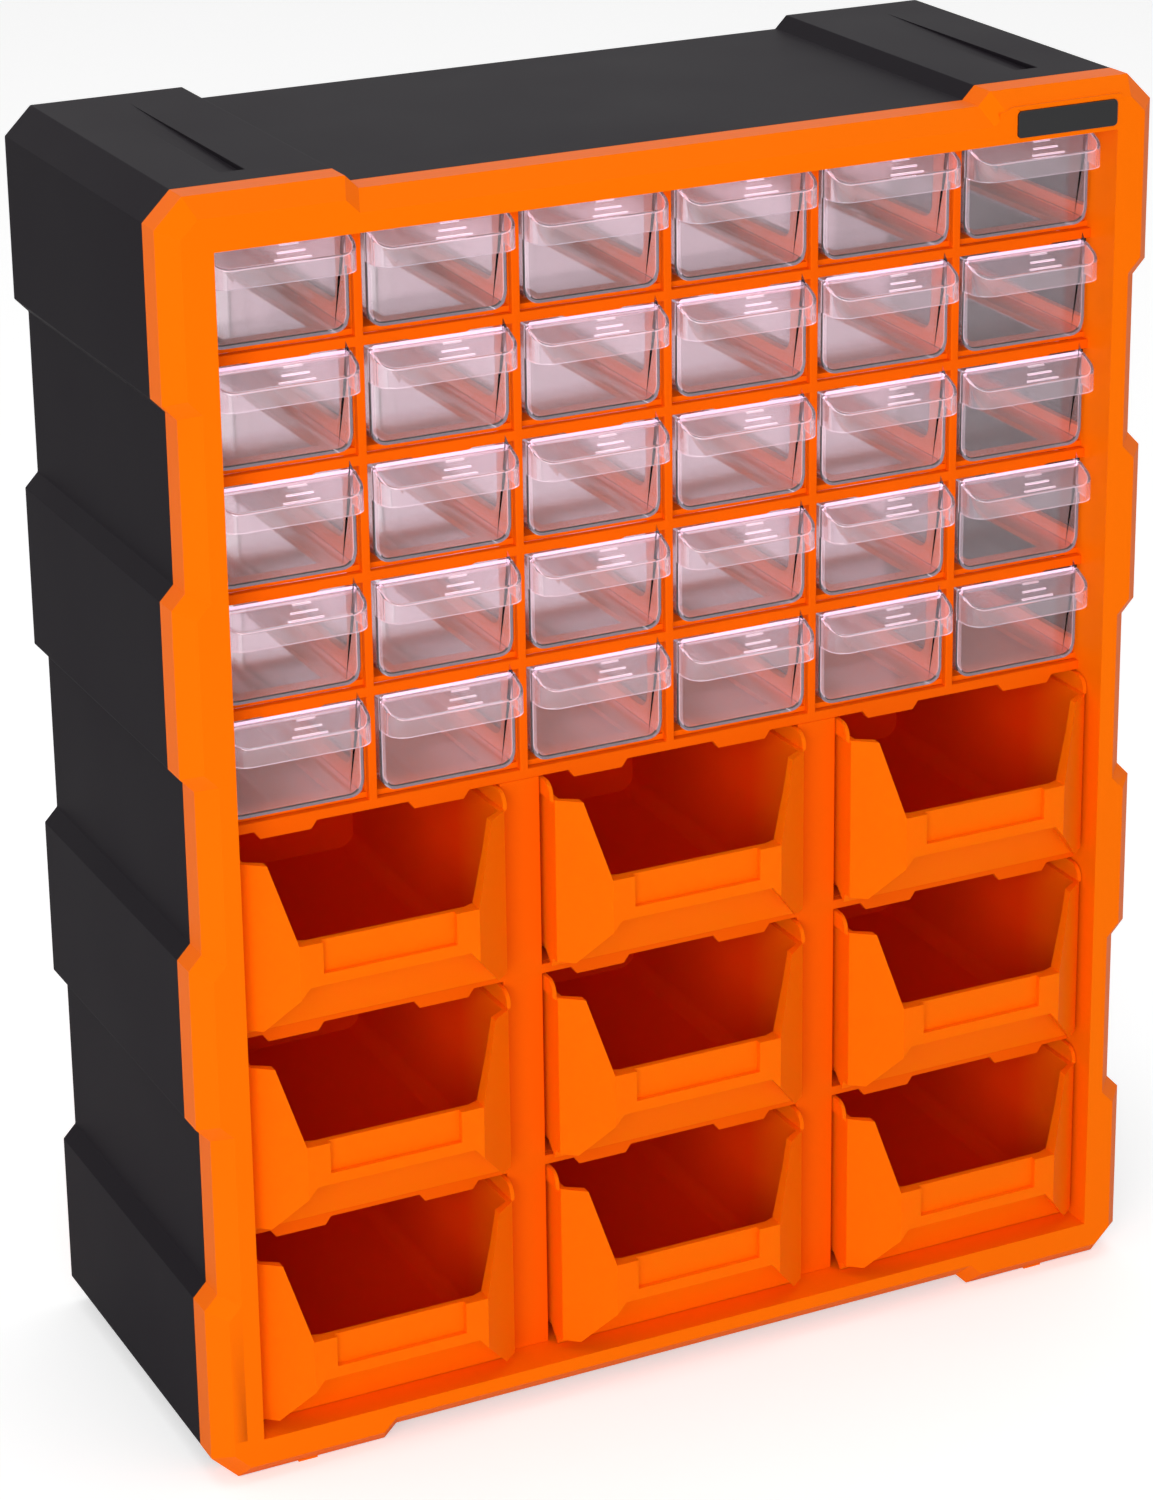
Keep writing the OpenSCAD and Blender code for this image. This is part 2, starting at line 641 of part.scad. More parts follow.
module open_bin() {
  h = bin_h;
  rim = h - bin_rim_h;
  difference() {
    union() {
      // box with the slanted front wall, up to the rim
      intersection() {
        linear_extrude(rim + eps) bin_plan();
        union() {
          front_prism(lip_y, bin_back) bin_front(0, h);
          side_prism(-bin_half, bin_half)
            polygon([[lip_y + bin_r, bin_r], [lip_y, 0], [panel_y + panel_t + bin_r, panel_low],
              [panel_y, panel_low], [panel_y, h], [lip_y + bin_r, h]]);
        }
      }
      // cheeks that reach down past the label panel as fins
      difference() {
        linear_extrude(rim + eps) difference() {
          bin_plan();
          bin_room();
          translate([-bin_half, side_y + bin_side_proud]) square([2*bin_half, bin_back]);
          translate([-cheek_inner, panel_y - cut]) square([2*cheek_inner, bin_wall + cut]);
        }
        front_prism(panel_y - cut, grid_y + cut)
          polygon([[-bin_half - cut, -cut], [bin_half + cut, -cut], [bin_half + cut, cheek_low],
            [cheek_tip, cheek_low], [cheek_inner, panel_low], [-cheek_inner, panel_low],
            [-cheek_tip, cheek_low], [-bin_half - cut, cheek_low]]);
      }
      // rim that stands out from the side and back walls
      for (s = [-1, 1]) difference() {
        side_prism(s > 0 ? bin_half - bin_wall : -bin_half - bin_rim_out,
          s > 0 ? bin_half + bin_rim_out : -bin_half + bin_wall)
          polygon(concat([[side_y + cut, rim - bin_rim_out], [bin_back, rim - bin_rim_out], [bin_back, h]],
            [for (a = [90:15:180]) [side_y + cut + ear_r + ear_r*cos(a), h - ear_r + ear_r*sin(a)]]));
        translate([s*bin_half, 0, 0]) front_prism(side_y, bin_back + cut)
          polygon([[0, rim - bin_rim_out - cut], [s*(bin_rim_out + cut), rim - bin_rim_out - cut],
            [s*(bin_rim_out + cut), rim + cut], [0, rim - bin_rim_out]]);
      }
      block(-bin_half, bin_half, bin_back - bin_wall, bin_back, rim, h);
    }
    // inside
    intersection() {
      union() {
        translate([0, 0, -cut]) linear_extrude(h) bin_room();
        block(-bin_half, bin_half, side_y, bin_back - bin_wall, rim, h + cut);
      }
      union() {
        intersection() {
          front_prism(panel_y, bin_back) bin_front(bin_wall, h + cut);
          side_prism(-bin_half, bin_half)
            polygon([[bin_back, 0], [lip_y + bin_wall, 0], [lip_y + bin_wall, bin_wall],
              [panel_y + panel_t + bin_r + bin_wall, panel_low + bin_wall], [panel_y + panel_t, panel_low + bin_wall],
              [panel_y + panel_t, h + cut], [bin_back, h + cut]]);
        }
        block(-bin_half, bin_half, side_y, bin_back, rim, h + cut);
      }
    }
    // mouth between the cheeks, and the label pocket
    front_prism(panel_y - cut, side_y + cut)
      polygon([[-panel_half, panel_top], [panel_half, panel_top], [mouth_half, cheek_top],
        [bin_half + bin_rim_out + cut, cheek_top], [bin_half + bin_rim_out + cut, h + cut],
        [-bin_half - bin_rim_out - cut, h + cut], [-bin_half - bin_rim_out - cut, cheek_top],
        [-mouth_half, cheek_top]]);
    block(-pocket_half, pocket_half, panel_y - cut, panel_y + pocket_d, pocket_low, panel_top + cut);
  }
}

module bin(r, c) {
  color([0.95, 0.42, 0.05])
    translate([bin_x(c), 0, bin_z(r) + bin_lift]) open_bin();
}

housing();
front_frame();
drawer_grid();
bin_grid();
badge_plate();
for (r = [1:drawer_rows])
  drawer_rack(r - 1);
for (r = [1:bin_rows])
  bin_rack(r - 1);
for (r = [1:drawer_rows]) for (c = [1:drawer_cols])
  drawer(r - 1, c - 1);
for (r = [1:bin_rows]) for (c = [1:bin_cols])
  bin(r - 1, c - 1);
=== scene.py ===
# %% [markdown]
# # Dressing a moulded parts cabinet
#
# The imported CAD model gives every piece its size and place, in metres, with +Z up and the front
# towards -Y. This lesson puts looks on it: edges that catch the light, a grained black housing,
# satin orange mouldings and thirty clear drawers. The model is loaded first.

# %% Load the imported model
import math

import bmesh
import bpy
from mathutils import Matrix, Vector


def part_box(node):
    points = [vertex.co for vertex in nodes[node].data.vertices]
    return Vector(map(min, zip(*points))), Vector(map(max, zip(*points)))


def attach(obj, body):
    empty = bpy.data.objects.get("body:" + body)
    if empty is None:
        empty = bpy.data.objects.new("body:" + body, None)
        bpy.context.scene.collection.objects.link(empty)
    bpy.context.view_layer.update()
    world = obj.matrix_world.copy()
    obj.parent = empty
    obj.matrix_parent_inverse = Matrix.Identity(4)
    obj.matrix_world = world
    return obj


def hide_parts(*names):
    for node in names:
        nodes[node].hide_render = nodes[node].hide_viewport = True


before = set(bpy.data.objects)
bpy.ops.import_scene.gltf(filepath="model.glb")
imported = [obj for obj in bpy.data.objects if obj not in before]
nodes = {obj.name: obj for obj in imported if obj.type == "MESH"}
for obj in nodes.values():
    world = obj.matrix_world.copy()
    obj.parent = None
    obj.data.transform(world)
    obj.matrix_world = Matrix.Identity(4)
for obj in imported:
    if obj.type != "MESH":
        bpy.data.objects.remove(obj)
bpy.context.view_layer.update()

# %% [markdown]
# ## Camera
#
# The photograph is a pinhole view from the front left and a little above. The cabinet's own grid
# of cells gives the camera's place and lens, because the size and spacing of its bars are known.
# The lens shift stands for a crop of a wider picture, and depth of field stays off. Light crosses
# many clear walls before it reaches the camera, so a path may bounce more often than usual.

# %% Camera
BOUNCES = 24
camera_data = bpy.data.cameras.new("view_camera")
camera_data.lens = 99.32823
camera_data.sensor_width = 36
camera_data.shift_x = 0.023255
camera_data.shift_y = -0.15012
camera = bpy.data.objects.new("view_camera", camera_data)
camera.location = (-0.63184, -1.28171, 0.80215)
camera.rotation_euler = [math.radians(a) for a in (71.03394, 0.875197, -25.758993)]
bpy.context.scene.collection.objects.link(camera)
bpy.context.scene.camera = camera
bpy.context.scene.view_settings.view_transform = "Standard"
cycles = bpy.context.scene.cycles
cycles.max_bounces = cycles.transmission_bounces = cycles.transparent_max_bounces = BOUNCES
print("camera at", [round(v, 3) for v in camera.location], "with", BOUNCES, "bounces")

# %% [markdown]
# ## Small helpers
#
# An operator works on whatever is selected, so each step first selects one thing and nothing
# else. In edit mode the faces and edges are then chosen by their place, as a hand would pick them.

# %% Helpers for selecting
MM = 0.001


def only(piece):
    """Makes piece the one selected and active object."""
    if bpy.context.object and bpy.context.object.mode == "EDIT":
        bpy.ops.object.mode_set(mode="OBJECT")
    bpy.ops.object.select_all(action="DESELECT")
    piece.select_set(True)
    bpy.context.view_layer.objects.active = piece


def pick(piece, kind, wanted):
    """Selects the faces or edges of piece, in edit mode, for which wanted(middle, direction) holds."""
    bpy.ops.mesh.select_mode(type={"faces": "FACE", "edges": "EDGE"}[kind])
    bpy.ops.mesh.select_all(action="DESELECT")
    mesh = bmesh.from_edit_mesh(piece.data)
    found = 0
    for item in getattr(mesh, kind):
        if kind == "faces":
            middle, way = item.calc_center_median(), item.normal
        else:
            a, b = (v.co for v in item.verts)
            middle, way = (a + b) / 2, (b - a).normalized()
        if wanted(middle, way):
            item.select = True
            found += 1
    mesh.select_flush_mode()
    bmesh.update_edit_mesh(piece.data)
    return found


def near(a, b, slack=0.05 * MM):
    """True if two lengths agree to within the slack."""
    return abs(a - b) < slack


def settle(piece, angle=30):
    """Puts the object's place into its mesh and shades it smooth up to an angle."""
    only(piece)
    bpy.ops.object.transform_apply(location=True, rotation=True, scale=True)
    bpy.ops.object.shade_smooth_by_angle(angle=math.radians(angle))


# %% Helpers for a block at given corners and for a modifier
def block(name, low, high):
    """A cube primitive stretched between two corners given in millimetres, as a start for shaping."""
    bpy.ops.object.select_all(action="DESELECT")
    middle = [(a + b) / 2 * MM for a, b in zip(low, high)]
    bpy.ops.mesh.primitive_cube_add(size=1, location=middle)
    piece = bpy.context.object
    piece.name = name
    piece.scale = [(b - a) * MM for a, b in zip(low, high)]
    bpy.ops.object.transform_apply(location=True, rotation=True, scale=True)
    return piece


def apply_modifier(piece, kind, **settings):
    """Adds one modifier with these settings and applies it at once."""
    only(piece)
    modifier = piece.modifiers.new(kind.lower(), kind)
    for key, value in settings.items():
        setattr(modifier, key, value)
    bpy.ops.object.modifier_apply(modifier=modifier.name)


# %% [markdown]
# ## One skin for all moulded plastic
#
# A moulded surface is never quite even. The tool's grain gives a fine bump, and the colour and
# gloss drift a little over a hand's width. Black, orange and clear parts all show it, each in its
# own strength, so it is one node group with named inputs that every material places.

# %% Node group for a moulded skin
def socket(group, name, way, kind, value=None):
    """Adds a named input or output to a node group, with a value for an input."""
    made = group.interface.new_socket(name=name, in_out=way, socket_type=kind)
    if value is not None:
        made.default_value = value


def moulded_skin():
    """Colour and roughness that drift slowly, and the height of a fine grain."""
    group = bpy.data.node_groups.new("moulded_skin", "ShaderNodeTree")
    socket(group, "Colour", "INPUT", "NodeSocketColor", (0.5, 0.5, 0.5, 1))
    socket(group, "Colour drift", "INPUT", "NodeSocketFloat", 0.05)
    socket(group, "Roughness", "INPUT", "NodeSocketFloat", 0.4)
    socket(group, "Roughness drift", "INPUT", "NodeSocketFloat", 0.05)
    socket(group, "Grain scale", "INPUT", "NodeSocketFloat", 1200.0)
    socket(group, "Grain height", "INPUT", "NodeSocketFloat", 0.02)
    socket(group, "Colour", "OUTPUT", "NodeSocketColor")
    socket(group, "Roughness", "OUTPUT", "NodeSocketFloat")
    socket(group, "Height", "OUTPUT", "NodeSocketFloat")
    n, link = group.nodes, group.links.new
    given, out = n.new("NodeGroupInput"), n.new("NodeGroupOutput")
    place = n.new("ShaderNodeTexCoord")

    # slow drift over a hand's width
    cloud = n.new("ShaderNodeTexNoise")
    cloud.inputs["Scale"].default_value = 14
    cloud.inputs["Detail"].default_value = 2
    link(place.outputs["Object"], cloud.inputs["Vector"])
    centred = n.new("ShaderNodeMath")
    centred.operation = "SUBTRACT"
    centred.inputs[1].default_value = 0.5
    link(cloud.outputs["Fac"], centred.inputs[0])

    tone = n.new("ShaderNodeMath")
    tone.operation = "MULTIPLY_ADD"
    tone.inputs[2].default_value = 1
    link(centred.outputs[0], tone.inputs[0])
    link(given.outputs["Colour drift"], tone.inputs[1])
    shade = n.new("ShaderNodeVectorMath")
    shade.operation = "SCALE"
    link(given.outputs["Colour"], shade.inputs[0])
    link(tone.outputs[0], shade.inputs["Scale"])
    link(shade.outputs[0], out.inputs["Colour"])

    rough = n.new("ShaderNodeMath")
    rough.operation = "MULTIPLY_ADD"
    link(centred.outputs[0], rough.inputs[0])
    link(given.outputs["Roughness drift"], rough.inputs[1])
    link(given.outputs["Roughness"], rough.inputs[2])
    link(rough.outputs[0], out.inputs["Roughness"])

    # the tool's grain
    grain = n.new("ShaderNodeTexNoise")
    grain.inputs["Detail"].default_value = 3
    link(place.outputs["Object"], grain.inputs["Vector"])
    link(given.outputs["Grain scale"], grain.inputs["Scale"])
    height = n.new("ShaderNodeMath")
    height.operation = "MULTIPLY"
    link(grain.outputs["Fac"], height.inputs[0])
    link(given.outputs["Grain height"], height.inputs[1])
    link(height.outputs[0], out.inputs["Height"])
    return group


skin_group = moulded_skin()
print("skin group with", len(skin_group.nodes), "nodes")


# %% Helper for a plastic that wears the skin
def plastic(name, colour, drift, rough, rough_drift, grain_scale, grain_height, **fixed):
    """Principled plastic whose colour, gloss and bump come through the skin group."""
    material = bpy.data.materials.new(name)
    material.use_nodes = True
    n, link = material.node_tree.nodes, material.node_tree.links.new
    shader = n["Principled BSDF"]
    skin = n.new("ShaderNodeGroup")
    skin.node_tree = skin_group
    skin.inputs["Colour"].default_value = (*colour, 1)
    skin.inputs["Colour drift"].default_value = drift
    skin.inputs["Roughness"].default_value = rough
    skin.inputs["Roughness drift"].default_value = rough_drift
    skin.inputs["Grain scale"].default_value = grain_scale
    skin.inputs["Grain height"].default_value = grain_height
    bump = n.new("ShaderNodeBump")
    bump.inputs["Strength"].default_value = 0.6
    bump.inputs["Distance"].default_value = 1 * MM
    link(skin.outputs["Colour"], shader.inputs["Base Color"])
    link(skin.outputs["Roughness"], shader.inputs["Roughness"])
    link(skin.outputs["Height"], bump.inputs["Height"])
    link(bump.outputs["Normal"], shader.inputs["Normal"])
    for key, value in fixed.items():
        shader.inputs[key].default_value = value
    return material, shader


# %% [markdown]
# ## The opaque plastics
#
# The housing is matte black with a sandy grain, so its roughness is high. The frame, grids, racks
# and bins are satin orange: the mould was smoother, and the pigment is so strong that blue is
# nearly absent. Both are set to mirror less than real plastic does, because the white room would
# wash their colours out, and what the orange mirrors is tinted. The grids and racks take darker,
# redder copies of the frame's orange, as painted shade for parts that sit back. Light also sinks
# into the thin bins and comes out redder. The bare badge plate is a smoother black that picks up a
# sharper light.

# %% Black and orange plastics
black_plastic, _ = plastic("grained_black", (0.0085, 0.0062, 0.0091), 0.25, 0.55, 0.10, 1500, 0.06,
                           **{"Specular IOR Level": 0.06})
SATIN = {"Specular IOR Level": 0.06, "Specular Tint": (1.0, 0.6, 0.2, 1)}
GLOW = {"Subsurface Weight": 0.25, "Subsurface Scale": 4 * MM, "Subsurface Radius": (1.0, 0.12, 0.02)}
orange_plastic, _ = plastic("satin_orange", (0.95, 0.160, 0.0006), 0.05, 0.42, 0.08, 900, 0.012, **SATIN)
# painted shade: the grid bars and the racks take darker, redder copies of the frame's orange
shaded_grid_plastic, _ = plastic("satin_orange_grid_painted_shade", (0.88, 0.110, 0.0006), 0.05, 0.45, 0.08, 900, 0.012, **SATIN)
shaded_rack_plastic, _ = plastic("satin_orange_inner_painted_shade", (0.95, 0.140, 0.0008), 0.05, 0.48, 0.08, 900, 0.012, **SATIN)
bin_plastic, bin_shader = plastic("satin_orange_bins", (0.97, 0.150, 0.0008), 0.06, 0.40, 0.10, 900, 0.012,
                                  **SATIN, **GLOW)
badge_plastic, _ = plastic("smooth_black", (0.012, 0.012, 0.013), 0.15, 0.30, 0.06, 2000, 0.01)
print("opaque plastics:", [m.name for m in (black_plastic, orange_plastic, shaded_grid_plastic, shaded_rack_plastic,
                                            bin_plastic, badge_plastic)])

# %% [markdown]
# ## Painted shade: a deeper red inside the bins
#
# A bin is one plastic inside and out, but deep in it the light has bounced from wall to wall, and
# each bounce takes more of the green away. That shade is painted in to match the photograph: the
# faces that look into the room carry an attribute, and where it is 1 the colour turns to a deeper
# red from the mouth backwards, as painted shade.

# %% Helper for the painted shade inside the bins
MOUTH_Y, DEEP_Y = -0.070, -0.030


def paint_bin_shade(material, shader, deep):
    """Paints shade: mixes the colour towards a deeper red by the face attribute inside, from the mouth
    backwards.
    """
    n, link = material.node_tree.nodes, material.node_tree.links.new
    inside = n.new("ShaderNodeAttribute")
    inside.attribute_name = "inside"
    place = n.new("ShaderNodeTexCoord")
    axes = n.new("ShaderNodeSeparateXYZ")
    link(place.outputs["Object"], axes.inputs[0])
    depth = n.new("ShaderNodeMapRange")
    depth.inputs["From Min"].default_value = MOUTH_Y
    depth.inputs["From Max"].default_value = DEEP_Y
    link(axes.outputs["Y"], depth.inputs["Value"])
    share = n.new("ShaderNodeMath")
    share.operation = "MULTIPLY"
    link(depth.outputs["Result"], share.inputs[0])
    link(inside.outputs["Fac"], share.inputs[1])
    mix = n.new("ShaderNodeMix")
    mix.data_type = "RGBA"
    skin = shader.inputs["Base Color"].links[0].from_socket
    link(share.outputs[0], mix.inputs["Factor"])
    link(skin, mix.inputs["A"])
    mix.inputs["B"].default_value = (*deep, 1)
    link(mix.outputs["Result"], shader.inputs["Base Color"])


# painted shade: the deep red that the inside of the bins turns to
paint_bin_shade(bin_plastic, bin_shader, (0.95, 0.045, 0.0006))
print("bin plastic has", len(bin_plastic.node_tree.nodes), "nodes")

# %% [markdown]
# ## The clear plastic
#
# The drawers are thin clear mouldings, slightly milky, with a slight pink in their colour that is a
# painted reflection of the orange round them. Real clear plastic bends light and mirrors the room,
# which transmission gives. The milk is
# the part that doesn't pass through, so the weight stays under 1. Light must also reach what lies
# inside, so the shader lets shadow rays through with a lower alpha, and stays whole for the eye.

# %% Clear plastic that shadow rays pass
SHADOW_SHARE = 0.94
# the pink in this colour is a painted reflection of the orange round the drawers
clear_plastic, clear_shader = plastic(
    "clear_milky", (0.93, 0.86, 0.89), 0.03, 0.05, 0.04, 700, 0.0006,
    **{"Transmission Weight": 0.96, "IOR": 1.42, "Emission Strength": 1.0})


def open_to_light(material, shader, through):
    """Shadow rays pass the material with this share of their light."""
    n, link = material.node_tree.nodes, material.node_tree.links.new
    ray = n.new("ShaderNodeLightPath")
    alpha = n.new("ShaderNodeMath")
    alpha.operation = "MULTIPLY_ADD"
    alpha.inputs[1].default_value = -through
    alpha.inputs[2].default_value = 1
    link(ray.outputs["Is Shadow Ray"], alpha.inputs[0])
    link(alpha.outputs[0], shader.inputs["Alpha"])


open_to_light(clear_plastic, clear_shader, SHADOW_SHARE)
print("clear plastic passes", SHADOW_SHARE, "of a shadow ray")

# %% [markdown]
# ## Painted glow for the light that a clear wall leads
#
# A clear wall leads light along itself and lets it out at its rims, and the photograph shows the
# rims pale. So the rims and the hood send out a little light of their own, a painted glow, as far
# as a face attribute says. It is a stand-in set for bright surroundings, and in dim ones it would
# look too bright.

# %% Painted glow in the clear plastic
PAINTED_GLOW_COLOUR = (0.33, 0.25, 0.30)


def paint_rim_glow(material, shader, colour):
    """Faces send out a painted glow as far as their glow attribute says."""
    n, link = material.node_tree.nodes, material.node_tree.links.new
    rim = n.new("ShaderNodeAttribute")
    rim.attribute_name = "painted_glow"
    glow = n.new("ShaderNodeVectorMath")
    glow.operation = "SCALE"
    glow.inputs[0].default_value = colour
    link(rim.outputs["Fac"], glow.inputs["Scale"])
    link(glow.outputs[0], shader.inputs["Emission Color"])


paint_rim_glow(clear_plastic, clear_shader, PAINTED_GLOW_COLOUR)
print("led light", PAINTED_GLOW_COLOUR)

# %% [markdown]
# ## Eased edges on the big mouldings
#
# The CAD solids have knife-sharp edges, and a real mould never does: every edge has a small
# radius that catches a line of light. Modelling the housing and the frame again would only repeat
# their shapes, so a copy of each node is merged, flat pairs of its triangles become four-sided
# faces, and a bevel modifier eases what is still sharp.

# %% Helper for a copy with eased edges
def eased_copy(node, name, width):
    """A copy of a CAD node whose sharp edges are eased by a width in millimetres."""
    mesh = nodes[node].data.copy()
    piece = bpy.data.objects.new(name, mesh)
    bpy.context.scene.collection.objects.link(piece)
    only(piece)
    bpy.ops.object.mode_set(mode="EDIT")
    bpy.ops.mesh.select_all(action="SELECT")
    bpy.ops.mesh.remove_doubles(threshold=0.002 * MM)
    bpy.ops.mesh.tris_convert_to_quads(face_threshold=math.radians(0.5), shape_threshold=math.radians(90))
    bpy.ops.object.mode_set(mode="OBJECT")
    apply_modifier(piece, "BEVEL", width=width * MM, segments=2, limit_method="ANGLE",
                   angle_limit=math.radians(25), loop_slide=False)
    settle(piece)
    apply_modifier(piece, "WEIGHTED_NORMAL", keep_sharp=True, weight=80)
    return piece


# %% Helper for giving a piece its material and body, and hiding the node it stands for
def finish_piece(piece, material, body, slot, *stands_for):
    """One material all over, the body it rides on, its slot (not used), and the node it stands for."""
    piece.data.materials.clear()
    piece.data.materials.append(material)
    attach(piece, body)
    if stands_for:
        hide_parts(*stands_for)


# %% Housing, front frame and grids
housing = eased_copy("housing", "housing_shell", width=0.7)
finish_piece(housing, black_plastic, "cabinet", "housing_black", "housing")
front = eased_copy("front_frame", "front_frame_moulding", width=0.6)
finish_piece(front, orange_plastic, "cabinet", "frame_orange", "front_frame")
for grid in ("drawer_grid", "bin_grid"):
    bars = eased_copy(grid, grid + "_bars", width=0.35)
    finish_piece(bars, shaded_grid_plastic, "cabinet", "frame_orange", grid)
print("housing", len(housing.data.polygons), "faces, frame", len(front.data.polygons))

# %% [markdown]
# ## Racks
#
# The racks lie behind the bars and are seen only through the drawers or when a bin is out. Their
# CAD solids have the right shape, so they stay and only take the rack's plastic, a darker orange
# that is painted shade.

# %% Racks
racks = [name for name in nodes if "_rack" in name]
for name in racks:
    nodes[name].data.materials.clear()
    nodes[name].data.materials.append(shaded_rack_plastic)
print(len(racks), "racks")

# %% [markdown]
# ## Column walls
#
# Behind each upright bar the rack's wall reaches up the whole cell for about a centimetre and then
# drops in a round corner to the low runner, which leaves a window between neighbouring drawers.
# One wall is a block from which a second block with a rounded edge is taken; the other
# twenty-four are copies, joined to one piece.

# %% One column wall
WALL_DEPTH, WALL_RISE, WALL_HALF, WINDOW_ROUND = 11.3, 30.7, 1.5, 6.0
EDGE = 0.3  # easing of the edges of thin walls


def column_wall(x, y, z_low, z_high):
    """Wall behind a bar: x is the bar's middle, y its back. The window block reaches out past the wall."""
    wall = block("column_wall", (x - WALL_HALF, y, z_low),
                 (x + WALL_HALF, y + WALL_DEPTH + WINDOW_ROUND, z_high))
    window = block("window", (x - 5, y + WALL_DEPTH, z_low + 0.02), (x + 5, y + 60, z_high + 20))
    bpy.ops.object.mode_set(mode="EDIT")
    pick(window, "edges",
         lambda m, w: abs(w.x) > 0.9 and near(m.y, (y + WALL_DEPTH) * MM) and m.z < z_high * MM)
    bpy.ops.mesh.bevel(offset=WINDOW_ROUND * MM, segments=6, profile=0.5, affect="EDGES")
    bpy.ops.object.mode_set(mode="OBJECT")
    apply_modifier(wall, "BOOLEAN", operation="DIFFERENCE", object=window, solver="EXACT")
    bpy.data.objects.remove(window)
    return wall


# %% Twenty-five column walls
def bar_between(column):
    """Middle of the bar to the right of a column, in metres."""
    return (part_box(f"drawer_r1c{column}")[1][0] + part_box(f"drawer_r1c{column + 1}")[0][0]) / 2


grid_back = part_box("drawer_grid")[1][1]
wall_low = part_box("drawer_rack_r1")[1][2]
wall_high = wall_low + WALL_RISE * MM
first_wall = column_wall(bar_between(1) / MM, grid_back / MM, wall_low / MM, wall_high / MM)
walls = [first_wall]
for row in range(1, 6):
    for column in range(1, 6):
        if (row, column) == (1, 1):
            continue
        wall = first_wall.copy()
        wall.data = first_wall.data.copy()
        bpy.context.scene.collection.objects.link(wall)
        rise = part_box(f"drawer_rack_r{row}")[1][2] - wall_low
        wall.location = (bar_between(column) - bar_between(1), 0, rise)
        walls.append(wall)
only(first_wall)
for wall in walls:
    wall.select_set(True)
bpy.ops.object.join()
column_walls = bpy.context.object
column_walls.name = "column_walls"
apply_modifier(column_walls, "BEVEL", width=EDGE * MM, segments=2, limit_method="ANGLE",
               angle_limit=math.radians(40))
settle(column_walls)
finish_piece(column_walls, shaded_rack_plastic, "cabinet", "rack_orange")
print("column walls", len(column_walls.data.polygons), "faces")

# %% [markdown]
# ## Bins
#
# All nine bins are the same moulding. The first is made from its CAD node with eased edges. The
# faces that look into its room are then marked with a 1 in a face attribute, which tells the bin
# plastic where to paint a deeper red shade. The other eight are copies, each with its own mesh,
# moved by whole cells.

# %% Helper for marking faces
def mark_faces(piece, name, value_of):
    """Stores the number that value_of(face, mesh) gives in a face attribute, and counts those above 0."""
    mesh = piece.data
    marks = mesh.attributes.new(name, "FLOAT", "FACE")
    for face in mesh.polygons:
        marks.data[face.index].value = value_of(face, mesh)
    return sum(mark.value > 0 for mark in marks.data)


# %% First bin, with the faces that get painted shade marked
first_bin = eased_copy("bin_r1c1", "open_bin_r1c1", width=0.5)
bin_low, bin_high = (Vector(corner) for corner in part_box("bin_r1c1"))
# The room begins this far in from the bin's sides, and from its floor and rear.
CHEEK, SKIN = 3 * MM, 1.5 * MM


def faces_room(face, mesh):
    """True for the faces that look into the bin's room, where shade is painted."""
    centre = Vector(((bin_low.x + bin_high.x) / 2, (bin_low.y + bin_high.y) / 2, bin_high.z))
    offset = face.center - centre
    inner = (abs(offset.x) < (bin_high.x - bin_low.x) / 2 - CHEEK and face.center.z > bin_low.z + SKIN
             and face.center.y < bin_high.y - SKIN)
    return inner and face.normal.dot(offset) < 0


print("inner faces", mark_faces(first_bin, "inside", faces_room), "of", len(first_bin.data.polygons))

# %% Helper for what repeats
def copies_at(first, names, prefix, material, slot):
    """Copies the first piece to the places of the other nodes, each with its own mesh, and finishes all."""
    start = Vector(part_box(names[0])[0])
    pieces = [first]
    for node in names[1:]:
        piece = first.copy()
        piece.data = first.data.copy()
        piece.name = prefix + node
        bpy.context.scene.collection.objects.link(piece)
        piece.location = Vector(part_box(node)[0]) - start
        only(piece)
        bpy.ops.object.transform_apply(location=True, rotation=False, scale=False)
        pieces.append(piece)
    for node, piece in zip(names, pieces):
        finish_piece(piece, material, node + "_body", slot, node)
    return pieces


# %% Nine bins
bin_nodes = [f"bin_r{row}c{column}" for row in range(1, 4) for column in range(1, 4)]
bins = copies_at(first_bin, bin_nodes, "open_", bin_plastic, "bin_orange")
print(len(bins), "bins")

# %% [markdown]
# ## The clear drawer
#
# A small drawer is a thin tub with rounded lower edges and, across its front, a hood to pull it
# by. The tub is a block whose long lower edges are bevelled and whose top is taken off. The hood
# is a second block: its two front corners are rounded, a slanting cut gives the slope from the
# drawer's top to the lip, and it is open below. Both get their wall from Solidify, and a boolean
# joins them into one moulding.

# %% Sizes of the drawer, from its CAD node
low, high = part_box("drawer_r1c1")
low, high = Vector(low) / MM, Vector(high) / MM
WALL = 1.3  # thickness of the walls
LUG, LUG_HALF = 1.0, 10  # stop lug on the rear wall: rise and half its width
TUB_ROUND, FRONT_ROUND = 6, 1  # radius of the tub's long lower edges and of its front corners
HOOD_D, HOOD_H, LIP_H, HOOD_FLAT = 11.5, 11.6, 6.9, 1.3  # depth, height, height at the lip, flat top
HOOD_ROUND, SLOPE_EASE = 6.5, 0.9  # radius of the hood's front corners, easing round its slope
left, right = low.x, high.x
front_y, back_y = low.y + HOOD_D, high.y
floor_z, top_z = low.z, high.z - LUG
middle_x = (left + right) / 2
print("drawer", round(right - left, 2), "x", round(back_y - front_y, 2), "x", round(top_z - floor_z, 2), "mm")

